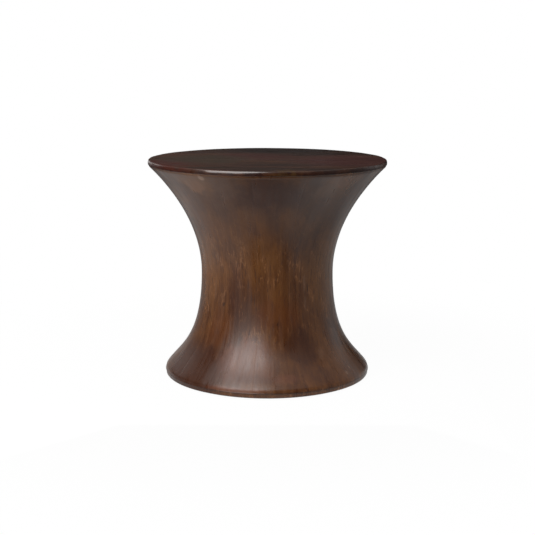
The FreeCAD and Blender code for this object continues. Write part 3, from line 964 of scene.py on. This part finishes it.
SEAT_FINISH = StainedWood(
    name="seat_stain",
    deep=(0.020, 0.0092, 0.0060, 1.0),
    warm=(0.058, 0.0235, 0.0125, 1.0),
    plum=(0.033, 0.0150, 0.0110, 1.0),
    pore=(0.010, 0.0060, 0.0045, 1.0),
    glint=(0.150, 0.062, 0.030, 1.0),
    edge=(0.018, 0.0040, 0.0022, 1.0),
    edge_warm=(0.040, 0.0120, 0.0045, 1.0),
    patches=(
        StainOrHighlight(-66.0, 0.449, 0.215, 0.055, 0.060, WINE, 0.65),
        StainOrHighlight(78.0, 0.449, 0.170, 0.110, 0.060, WINE, 0.65),
        StainOrHighlight(-150.0, 0.449, 0.060, 0.080, 0.060, WINE, 0.55),
        StainOrHighlight(-84.0, 0.449, 0.125, 0.085, 0.060, MOSS, 0.75),
        StainOrHighlight(168.0, 0.449, 0.235, 0.140, 0.060, SOOT, 0.90),
        StainOrHighlight(-52.0, 0.4450, 0.2447, 0.055, 0.009, RED, 0.90),
        StainOrHighlight(-76.0, 0.4450, 0.2447, 0.030, 0.008, RED, 0.60),
        StainOrHighlight(8.0, 0.4440, 0.2447, 0.030, 0.006, OLIVE, 0.80),
    ),
    knots_and_highlights=(StainOrHighlight(74.0, 0.4440, 0.2447, 0.050, 0.0045, ASH, 0.60),),
    fleck=0.10,
    streaky=1.0,
    banding=2.2,
    edge_share=0.9,
    polish=(
        StainOrHighlight(-18.0, 0.446, 0.2447, 0.078, 0.030, PLUM, 1.0),
        StainOrHighlight(-73.0, 0.446, 0.2447, 0.060, 0.030, PLUM, 1.0),
    ),
    mirror=0.33,
)
SAWN_FINISH = BareWood("sawn_inside", (0.36, 0.22, 0.12, 1.0), (0.20, 0.11, 0.055, 1.0))
PLY_FINISH = PlainWood("carrier_ply", (0.50, 0.34, 0.19, 1.0), (0.36, 0.22, 0.11, 1.0))
BEECH_FINISH = PlainWood("fixing_beech", (0.56, 0.38, 0.22, 1.0), (0.44, 0.28, 0.15, 1.0))
STEEL_FINISH = Hardware("zinc_steel", (0.55, 0.53, 0.46, 1.0), (0.42, 0.40, 0.35, 1.0), 1.0, 0.34)
NYLON_FINISH = Hardware("dark_nylon", (0.020, 0.018, 0.016, 1.0), (0.045, 0.042, 0.038, 1.0), 0.0, 0.48)


# Pieces

def placed(name: str, data: bpy.types.ID) -> bpy.types.Object:
    """Makes an object and links it to the scene.

    Args:
        name: Its name.
        data: Its mesh, lamp or camera.

    Returns:
        The object.
    """
    made = bpy.data.objects.new(name, data)
    bpy.context.scene.collection.objects.link(made)
    return made


def skin(rows: int, loop: int, flipped: bool = False) -> list[tuple[int, ...]]:
    """Faces over rows of points that each go once round a piece, with both ends closed.

    Args:
        rows: How many rows there are.
        loop: How many points each has.
        flipped: Whether the rows go round the other way.

    Returns:
        The faces, each as its points' numbers, with the two ends last.
    """
    sides = []
    for here in range(0, (rows - 1) * loop, loop):
        for index in range(loop):
            after = (index + 1) % loop
            sides.append((here + index, here + loop + index, here + loop + after, here + after))
    last = (rows - 1) * loop
    ends = [tuple(range(loop)), tuple(reversed(range(last, last + loop)))]
    if flipped:
        sides = [(first, *others[::-1]) for first, *others in sides]
        ends = [end[::-1] for end in ends]
    return sides + ends


@dataclass
class Surface:
    """A mesh in the making, with what its finish needs at each point."""

    points: list[Place]
    faces: list[tuple[int, ...]]
    tone: float
    grain: list[Place]
    cut: Sequence[float]
    edge: Sequence[float]
    sawn_faces: Iterable[int] = ()

    def piece(self, name: str, finishes: Sequence[bpy.types.Material]) -> bpy.types.Object:
        """Makes the object.

        Args:
            name: The piece's name.
            finishes: The finish of most faces and, second, that of the sawn ones.

        Returns:
            The object, linked to the scene.
        """
        mesh = bpy.data.meshes.new(name)
        mesh.from_pydata(self.points, [], self.faces)
        mesh.shade_smooth()
        mesh.set_sharp_from_angle(angle=SHARP_ANGLE)
        for finish in finishes:
            mesh.materials.append(finish)
        for face in self.sawn_faces:
            mesh.polygons[face].material_index = 1
        grain = mesh.attributes.new(Mark.GRAIN.value, "FLOAT_VECTOR", "POINT")
        grain.data.foreach_set("vector", np.array(self.grain, np.float32).ravel())
        tones = [self.tone] * len(self.points)
        for mark, values in ((Mark.TONE, tones), (Mark.CUT, self.cut), (Mark.EDGE, self.edge)):
            carried = mesh.attributes.new(mark.value, "FLOAT", "POINT")
            carried.data.foreach_set("value", np.array(values, np.float32))
        return placed(name, mesh)


@dataclass(frozen=True)
class HandFinish:
    """The small unevenness that hand sanding leaves on a turned surface."""

    depth: float = 0.00022
    waves: float = 11.0
    ripple_depth: float = 0.00006
    ripple_waves: float = 42.0
    free_low: float = 0.030
    free_high: float = 0.415
    blend: float = 0.030

    def hollow(self, place: Sequence[float]) -> float:
        """How far the surface lies under the true form at a place, in metres.

        Args:
            place: The place in the stool's frame.

        Returns:
            The depth, never outside the true form near the foot and the seat.
        """
        wave = noise.noise(Vector(place) * self.waves)
        ripple = noise.noise(Vector(place) * self.ripple_waves)
        low = (place[2] - self.free_low) / self.blend
        high = (self.free_high - place[2]) / self.blend
        free = min(max(min(low, high), 0.0), 1.0)
        return self.depth * (wave + 1.0 - free) + self.ripple_depth * (ripple + 1.0 - free)


@dataclass
class StaveDrum:
    """The drum of upright staves, glued edge to edge and turned on the outside."""

    section: TurnedSection
    hand: HandFinish
    count: int = 14
    first_angle: float = math.radians(-84.5)
    across: int = 34
    seam_width: float = math.radians(0.14)
    seam_depth: float = 0.00004
    crease_shade_reach: float = 0.0024
    figure_depth: float = 0.3
    pith_away: Point = (0.05, 0.14)
    seed: int = 21
    tones: tuple[float, ...] = (
        0.08, -0.02, 0.0, 0.05, -0.10, 0.08, -0.05, 0.10, -0.08, 0.04, -0.06, -0.04, 0.02, -0.03
    )

    def angles(self) -> np.ndarray:
        """Angles across a stave, with a narrow step at each edge for the seam.

        Returns:
            The angles, from the stave's own middle.
        """
        half = math.pi / self.count
        middle = np.linspace(-half + self.seam_width, half - self.seam_width, self.across)
        return np.concatenate([[-half], middle, [half]])

    def outline(self) -> tuple[np.ndarray, np.ndarray, np.ndarray]:
        """The stave's closed section.

        Returns:
            Its points, which of them are turned on the outside, and which are on the sawn face.
        """
        outside = self.section.outside()
        inside = self.section.inside()
        points = np.vstack([outside, self.section.ledge()[1:], inside])
        turned = np.zeros(len(points), bool)
        turned[self.section.sole_points:len(outside)] = True
        sawn = np.zeros(len(points), bool)
        sawn[-len(inside):] = True
        return points, turned, sawn

    def edge(self, points: np.ndarray) -> np.ndarray:
        """How near each point of the section is to the crease over the plinth, from 0 to 1; the finish
        darkens it there with painted shade.
        """
        crease = np.array((self.section.foot_radius, self.section.floor_gap + self.section.plinth_height))
        return np.exp(-((np.linalg.norm(points - crease, axis=1) / self.crease_shade_reach) ** 2))

    @staticmethod
    def spot(radius: float, angle: float, height: float) -> Place:
        """A place on the drum from its radius, angle and height."""
        return (radius * math.cos(angle), radius * math.sin(angle), height)

    def surface(self, number: int, tone: float, pith: Place) -> Surface:
        """Models one stave.

        Args:
            number: Its place in the drum, from 0.
            tone: How much lighter or darker it is.
            pith: Where the middle of its tree was, seen from its own middle.

        Returns:
            The mesh in the making.
        """
        outline, turned, sawn = self.outline()
        angles = self.angles()
        turn = self.first_angle + number * 2 * math.pi / self.count
        ahead = np.roll(outline, -1, axis=0) - np.roll(outline, 1, axis=0)
        length = np.maximum(np.linalg.norm(ahead, axis=1), SAME_NUMBER)
        outward = np.c_[ahead[:, 1], -ahead[:, 0]] / length[:, None]
        waist = self.section.waist_radius
        points, grain = [], []
        for angle in angles:
            seam = self.seam_depth if abs(angle) > math.pi / self.count - SAME_NUMBER else 0.0
            for index, (radius, level) in enumerate(outline):
                reach = radius / math.cos(angle) if sawn[index] else radius
                if turned[index]:
                    hollow = self.hand.hollow(self.spot(reach, angle + turn, level)) + seam
                    reach -= hollow * outward[index, 0]
                    level -= hollow * outward[index, 1]
                points.append(self.spot(reach, angle + turn, level))
                depth = waist + (reach * math.cos(angle) - waist) * self.figure_depth
                grain.append((depth - pith[0], reach * math.sin(angle) - pith[1], level + pith[2]))
        columns, loop = len(angles), len(outline)
        sawn_steps = [index for index in range(loop) if sawn[index] and sawn[(index + 1) % loop]]
        sawn_faces = [column * loop + index for column in range(columns - 1) for index in sawn_steps]
        cut = np.tile(np.abs(ahead[:, 0]) / length, columns)
        edge = np.tile(self.edge(outline), columns)
        return Surface(points, skin(columns, loop), tone, grain, cut, edge, sawn_faces)

    def build(self) -> list[bpy.types.Object]:
        """Models and dresses all staves.

        Returns:
            The staves' objects.
        """
        finishes = [BODY_FINISH.material(), SAWN_FINISH.material()]
        draw = random.Random(self.seed)
        middle = self.section.waist_radius
        staves = []
        for number, tone in enumerate(self.tones):
            bearing = draw.uniform(0.0, 2 * math.pi)
            away = draw.uniform(*self.pith_away)
            along = draw.uniform(0.0, TREE_LENGTH)
            pith = (middle + away * math.cos(bearing), away * math.sin(bearing), along)
            name = f"stave_{number + 1:02d}"
            stave = self.surface(number, tone, pith).piece(f"dressed_{name}", finishes)
            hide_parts(name)
            staves.append(stave)
        return staves


@dataclass
class BoardSeat:
    """The round seat of boards, glued edge to edge and turned on its rim."""

    section: TurnedSection
    hand: HandFinish
    count: int = 5
    columns: int = 48
    rows: int = 44
    edge_rows: int = 90
    seam_width: float = 0.0010
    seam_depth: float = 0.0006
    seam_waves: float = 13.0
    seam_open: float = 0.15
    hand_share: float = 0.6
    round_waves: float = 5.0
    round_swing: float = 0.6
    edge_low: float = math.radians(8.0)
    edge_high: float = math.radians(42.0)
    tone_swing: float = 0.15
    pith_aside: float = 0.03
    pith_depth: Point = (0.03, 0.09)
    seed: int = 31

    def sides(self, number: int) -> Point:
        """Where a board starts and ends across the seat, as shares of the rim's radius."""
        return (2 * number / self.count - 1, 2 * (number + 1) / self.count - 1)

    def lines(self, number: int) -> np.ndarray:
        """Places across the seat of one board's rows, closer together near the rim.

        Args:
            number: The board's place from the front, from 0.

        Returns:
            The places, as shares of the way from the seat's middle to its rim, from -1 to 1.
        """
        low, high = self.sides(number)
        step = self.seam_width / self.section.rim_radius
        start = math.asin(low + step if low > -1 else low)
        end = math.asin(high - step if high < 1 else high)
        rows = self.edge_rows if number in (0, self.count - 1) else self.rows
        middle = np.sin(np.linspace(start, end, rows))
        return np.concatenate([[low] if low > -1 else [], middle, [high] if high < 1 else []])

    def rounding(self, angle: float) -> float:
        """Height of the rim's rounded edge at an angle round the seat, uneven as sanding leaves it."""
        place = Vector((math.cos(angle), math.sin(angle), 0.0)) * self.round_waves
        return self.section.rim_round * (1.0 + self.round_swing * noise.noise(place))

    def across(self, radius: float, line: float, inner: Sequence[float]) -> float:
        """Where a row of points crosses a ring of the rim.

        Args:
            radius: The ring's radius.
            line: The row's place, as a share of the rim's radius.
            inner: Places of the board's joints with its neighbours, as such shares.

        Returns:
            The place across the seat, drawn in with the ring on the first and the last board.
        """
        rim = self.section.rim_radius
        if len(inner) == 2 or abs(line) <= abs(inner[0]):
            return line * rim
        start, end = inner[0] * rim, math.copysign(rim, line)
        return start + (line * rim - start) * (math.copysign(radius, line) - start) / (end - start)

    def end(self, side: float, line: float, inner: Sequence[float]) -> list[tuple[Vector, float, float]]:
        """One end of a row of points, from the flat top round the rim to the underside.

        Args:
            side: -1 for the left end and 1 for the right one.
            line: The row's place, as a share of the rim's radius.
            inner: Places of the board's joints with its neighbours, as such shares.

        Returns:
            Each point, how much end grain it shows, and how much of the point is edge.
        """
        angle = math.atan2(line, side * math.sqrt(max(1.0 - line * line, 0.0)))
        outline = self.section.seat_edge(self.rounding(angle))
        ahead = np.gradient(outline, axis=0)
        lean = np.arctan2(np.abs(ahead[:, 0]), np.abs(ahead[:, 1]))
        edge = np.clip((self.edge_high - lean) / (self.edge_high - self.edge_low), 0.0, 1.0)
        ring = []
        for (radius, height), upright, share in zip(outline, np.cos(lean), edge):
            place = self.across(radius, line, inner)
            chord = math.sqrt(max(radius * radius - place * place, 0.0))
            end_grain = upright * chord / self.section.rim_radius
            ring.append((Vector((side * chord, place, height)), end_grain, share))
        return ring

    def loop(self, line: float, inner: Sequence[float]) -> list[tuple[Vector, float, float]]:
        """One row of points round a board: left rim, top, right rim and underside.

        Args:
            line: The row's place, as a share of the rim's radius.
            inner: Places of the board's joints with its neighbours, as such shares.

        Returns:
            Each point, how much end grain it shows, and how much of the point is edge.
        """
        left, right = (self.end(side, line, inner) for side in (-1.0, 1.0))
        shares = np.linspace(0.0, 1.0, self.columns)[1:-1]
        top = [(left[0][0].lerp(right[0][0], share), 0.0, 0.0) for share in shares]
        under = [(right[-1][0].lerp(left[-1][0], share), 0.0, 0.0) for share in shares]
        return left[::-1] + top + right + under

    def surface(self, number: int, tone: float, pith: Place) -> Surface:
        """Models one board.

        Args:
            number: Its place from the front, from 0.
            tone: How much lighter or darker it is.
            pith: Where the middle of its tree was.

        Returns:
            The mesh in the making.
        """
        lines = self.lines(number)
        inner = [side for side in self.sides(number) if abs(side) < 1 - SAME_NUMBER]
        points, grain, cut, edges = [], [], [], []
        for line in lines:
            seamed = any(abs(line - seam) < SAME_NUMBER for seam in inner)
            for place, end_grain, edge in self.loop(line, inner):
                if place.z > self.section.shoulder_height + SAME_PLACE:
                    dip = self.hand.hollow(place) * self.hand_share
                    if seamed:
                        gap = self.seam_open + noise.noise(place * self.seam_waves)
                        dip += self.seam_depth * max(0.0, gap)
                    place.z -= dip
                points.append(tuple(place))
                grain.append((place.y - pith[0], place.z - pith[1], place.x + pith[2]))
                cut.append(end_grain)
                edges.append(edge)
        faces = skin(len(lines), len(points) // len(lines), flipped=True)
        return Surface(points, faces, tone, grain, cut, edges)

    @staticmethod
    def clean_ends(mesh: bpy.types.Mesh) -> None:
        """Merges the points that fall together where a board runs out at the rim.

        Args:
            mesh: The board's mesh.
        """
        made = bmesh.new()
        made.from_mesh(mesh)
        bmesh.ops.remove_doubles(made, verts=made.verts, dist=SAME_PLACE)
        bmesh.ops.dissolve_degenerate(made, edges=made.edges, dist=NO_LENGTH)
        bmesh.ops.recalc_face_normals(made, faces=made.faces)
        made.to_mesh(mesh)
        made.free()

    def build(self) -> list[bpy.types.Object]:
        """Models and dresses all boards.

        Returns:
            The boards' objects.
        """
        finish = SEAT_FINISH.material()
        draw = random.Random(self.seed)
        boards = []
        for number in range(self.count):
            tone = draw.uniform(-self.tone_swing, self.tone_swing)
            middle = (2 * number + 1 - self.count) / self.count * self.section.rim_radius
            aside = draw.uniform(-self.pith_aside, self.pith_aside)
            depth = draw.uniform(*self.pith_depth)
            along = draw.uniform(0.0, TREE_LENGTH)
            pith = (middle + aside, self.section.seat_height - depth, along)
            name = f"seat_board_{number + 1}"
            board = self.surface(number, tone, pith).piece(f"dressed_{name}", [finish])
            self.clean_ends(board.data)
            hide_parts(name)
            boards.append(board)
        return boards


@dataclass(frozen=True)
class Fixings:
    """The carrier, tongues, dowels, screws, nails and glides, which keep their own solids."""

    def dress(self, nodes: dict[str, bpy.types.Object]) -> None:
        """Gives each node its finish, by the first start that its name has.

        Args:
            nodes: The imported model's objects by name.
        """
        beech, steel, nylon = BEECH_FINISH.material(), STEEL_FINISH.material(), NYLON_FINISH.material()
        by_start = {
            "seat_carrier": PLY_FINISH.material(),
            "seat_tongue": beech,
            "lower_dowels": beech,
            "waist_dowels": beech,
            "upper_dowels": beech,
            "seat_screws": steel,
            "glide_nails": steel,
            "glide_": nylon,
        }
        for name, node in nodes.items():
            found = [finish for start, finish in by_start.items() if name.startswith(start)]
            if found:
                for slot in node.material_slots:
                    slot.material = found[0]


# Studio

@dataclass(frozen=True)
class SoftBox:
    """A large soft lamp aimed at the stool."""

    name: str
    place: Place
    width: float
    height: float
    power: float
    aim: Place = (0.0, 0.0, 0.25)

    def build(self) -> None:
        """Hangs the lamp."""
        lamp = bpy.data.lights.new(self.name, "AREA")
        lamp.shape = "RECTANGLE"
        lamp.size, lamp.size_y = self.width, self.height
        lamp.energy = self.power
        made = placed(self.name, lamp)
        made.location = self.place
        made.rotation_euler = (Vector(self.aim) - Vector(self.place)).to_track_quat("-Z", "Y").to_euler()


@dataclass(frozen=True)
class Card:
    """A card of the studio that only the stool sees, as a plain grey."""

    name: str
    grey: float
    corners: tuple[Place, ...]

    @classmethod
    def upright(cls, name: str, grey: float, start: Point, end: Point, low: float, high: float) -> "Card":
        """A card that stands on a line of the floor plan, between two heights."""
        return cls(name, grey, ((*start, low), (*end, low), (*end, high), (*start, high)))

    @classmethod
    def level(cls, name: str, grey: float, height: float, *outline: Point) -> "Card":
        """A card that lies level at a height."""
        return cls(name, grey, tuple((*point, height) for point in outline))


@dataclass(frozen=True)
class Studio:
    """White floor, grey cards out of the camera's sight, a soft lamp and the camera."""

    floor_size: float = 12.0
    floor_white: float = 0.88
    floor_rough: float = 0.9
    shade_edge: float = 0.204
    near_edge: float = 0.2125
    near_glow: float = 0.965
    glow_start: float = 0.40
    glow_end: float = 0.95
    pool_bright: float = 0.75
    pool_dim: float = 0.06
    pool_start: float = 0.50
    pool_end: float = 1.60
    camera_distance: float = 2.47865
    camera_height: float = 0.69542
    camera_tilt: float = math.radians(10.8087)
    camera_roll: float = math.radians(0.1355)
    focal_pixels: float = 1208.56
    middle_pixel: float = 267.2
    sensor_width: float = 36.0
    lamp: SoftBox = SoftBox("key", (-0.86, -1.39, 1.47), 1.65, 1.5, 39.0)
    cards: tuple[Card, ...] = (
        Card.upright("wall_front", 0.01, (-4, -4), (4, -4), 0, 4),
        Card.upright("wall_left", 0.12, (-4, -4), (-4, 4), 0, 4),
        Card.upright("wall_right", 0.28, (4, -4), (4, 4), 0, 4),
        Card.upright("left_back", 0.70, (-3.99, 1.8), (-3.99, 4), 1.3, 4),
        Card.upright("right_back", 0.68, (3.99, 1.2), (3.99, 4), 0, 3),
        Card.upright("key_skirt", 1.0, (-1.8, -1.34), (-0.4, -2.2), 0.25, 0.87),
        Card.upright("back_left", 0.55, (-3.2, 3.98), (-0.9, 3.98), 0, 1.5),
        Card.upright("rim_left", 1.0, (-3.9, 3.97), (-2.3, 3.97), 1.6, 2.4),
        Card.level("under", 0.80, 0.001, (-0.1, -0.1), (0.1, -0.1), (0.1, 0.1), (-0.1, 0.1)),
        Card.upright("back_low", 0.18, (-4, 4), (0.35, 4), 0, 0.8),
        Card.upright("back_high", 0.02, (-4, 4.01), (4, 4.01), 0, 4),
        Card.level("ceiling", 0.66, 4, (-4, -4), (4, -4), (4, 4), (-4, 4)),
        Card.level("overhead", 1.70, 3.99, (-4, -4), (0, -4), (0, 0), (-4, 0)),
        Card.level("right_cloth", 0.38, 0.003, (0.42, -0.9), (1.7, -0.9), (1.7, 1.2), (0.42, 1.2)),
        Card.level("front_cloth", 0.05, 0.004, (-0.27, -0.37), (0.27, -0.37), (2.8, -3.0), (-2.8, -3.0)),
    )

    def plane(self, name: str, corners: Iterable[Place], finish: bpy.types.Material) -> bpy.types.Object:
        """A flat panel of the studio.

        Args:
            name: Its name.
            corners: Its four corners.
            finish: Its material.

        Returns:
            The panel's object, which isn't part of the stool.
        """
        mesh = bpy.data.meshes.new(name)
        mesh.from_pydata(list(corners), [], [(0, 1, 2, 3)])
        mesh.materials.append(finish)
        made = placed(name, mesh)
        return made

    def floor(self) -> None:
        """Lays the white floor, which keeps a faint shadow near the stool and glows further off; the
        lacquer mirrors it as a painted pool of light, brighter near the stool.
        """
        graph = Graph("studio_floor")
        white = (self.floor_white, self.floor_white, self.floor_white, 1.0)
        graph.surface(Base_Color=white, Roughness=self.floor_rough, Specular_IOR_Level=0.0)
        glow = graph.node("ShaderNodeEmission")
        away = graph.vector("LENGTH", graph.place())
        near = graph.step(away, self.shade_edge, self.near_edge, 0.0, self.near_glow)
        far = graph.step(away, self.glow_start, self.glow_end, self.near_glow, 1.0)
        path = graph.node("ShaderNodeLightPath")
        seen = path.outputs["Is Camera Ray"]
        mirrored = graph.math("MAXIMUM", path.outputs["Is Glossy Ray"], path.outputs["Is Transmission Ray"])
        share = graph.math("MAXIMUM", graph.times(graph.math("MAXIMUM", near, far), seen), mirrored)
        share = graph.times(share, graph.math("GREATER_THAN", away, self.shade_edge))
        # Painted pool of light: the glow that the lacquer mirrors, brighter near the stool and dimmer
        # further off.
        pool = graph.step(away, self.pool_start, self.pool_end, self.pool_bright, self.pool_dim)
        graph.feed(glow.inputs["Strength"], graph.math("MAXIMUM", seen, pool))
        both = graph.node("ShaderNodeMixShader")
        graph.feed(both.inputs["Fac"], share)
        graph.feed(both.inputs[1], graph.shader.outputs["BSDF"])
        graph.feed(both.inputs[2], glow.outputs["Emission"])
        clear = graph.node("ShaderNodeMixShader")
        graph.feed(clear.inputs["Fac"], graph.node("ShaderNodeNewGeometry").outputs["Backfacing"])
        graph.feed(clear.inputs[1], both.outputs["Shader"])
        graph.feed(clear.inputs[2], graph.node("ShaderNodeBsdfTransparent").outputs["BSDF"])
        graph.show(clear.outputs["Shader"])
        half = self.floor_size / 2
        corners = ((-half, -half, 0.0), (half, -half, 0.0), (half, half, 0.0), (-half, half, 0.0))
        self.plane("floor", corners, graph.material)

    def hang_cards(self) -> None:
        """Stands the grey cards that the lacquer mirrors, out of the camera's sight."""
        for card in self.cards:
            graph = Graph(f"card_{card.name}")
            glow = graph.node("ShaderNodeEmission")
            glow.inputs["Color"].default_value = (card.grey, card.grey, card.grey, 1.0)
            graph.show(glow.outputs["Emission"])
            made = self.plane(card.name, card.corners, graph.material)
            made.visible_camera = False
            made.visible_shadow = False

    def backdrop(self) -> None:
        """Sets the plain white backdrop that the camera sees past the floor."""
        world = bpy.data.worlds.new("studio_backdrop")
        world.use_nodes = True
        background = world.node_tree.nodes["Background"]
        background.inputs["Color"].default_value = (1.0, 1.0, 1.0, 1.0)
        background.inputs["Strength"].default_value = 1.0
        bpy.context.scene.world = world

    def camera(self) -> None:
        """Sets the camera where the photograph was taken from."""
        lens = bpy.data.cameras.new("photo_camera")
        lens.sensor_width = self.sensor_width
        lens.lens = self.sensor_width * self.focal_pixels / PHOTO_PIXELS
        made = placed("photo_camera", lens)
        pan = math.atan((self.middle_pixel - PHOTO_PIXELS / 2) / self.focal_pixels)
        level = Matrix.Rotation(pan, 4, "Z") @ Matrix.Rotation(math.pi / 2 - self.camera_tilt, 4, "X")
        place = Matrix.Translation((0.0, -self.camera_distance, self.camera_height))
        made.matrix_world = place @ level @ Matrix.Rotation(self.camera_roll, 4, "Z")
        bpy.context.scene.camera = made

    def build(self) -> None:
        """Sets up the whole studio."""
        self.floor()
        self.hang_cards()
        self.backdrop()
        self.lamp.build()
        self.camera()
        bpy.context.scene.view_settings.view_transform = "Standard"


def main() -> None:
    """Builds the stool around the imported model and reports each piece."""
    logging.basicConfig(level=logging.INFO, format="%(name)s: %(message)s")
    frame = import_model()
    section = TurnedSection()
    hand = HandFinish()
    pieces = StaveDrum(section, hand).build() + BoardSeat(section, hand).build()
    for piece in pieces:
        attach(piece, ROOT_BODY)
        LOG.info("%s: %d faces", piece.name, len(piece.data.polygons))
    Fixings().dress(frame["nodes"])
    Studio().build()


if __name__ == "__main__":
    main()
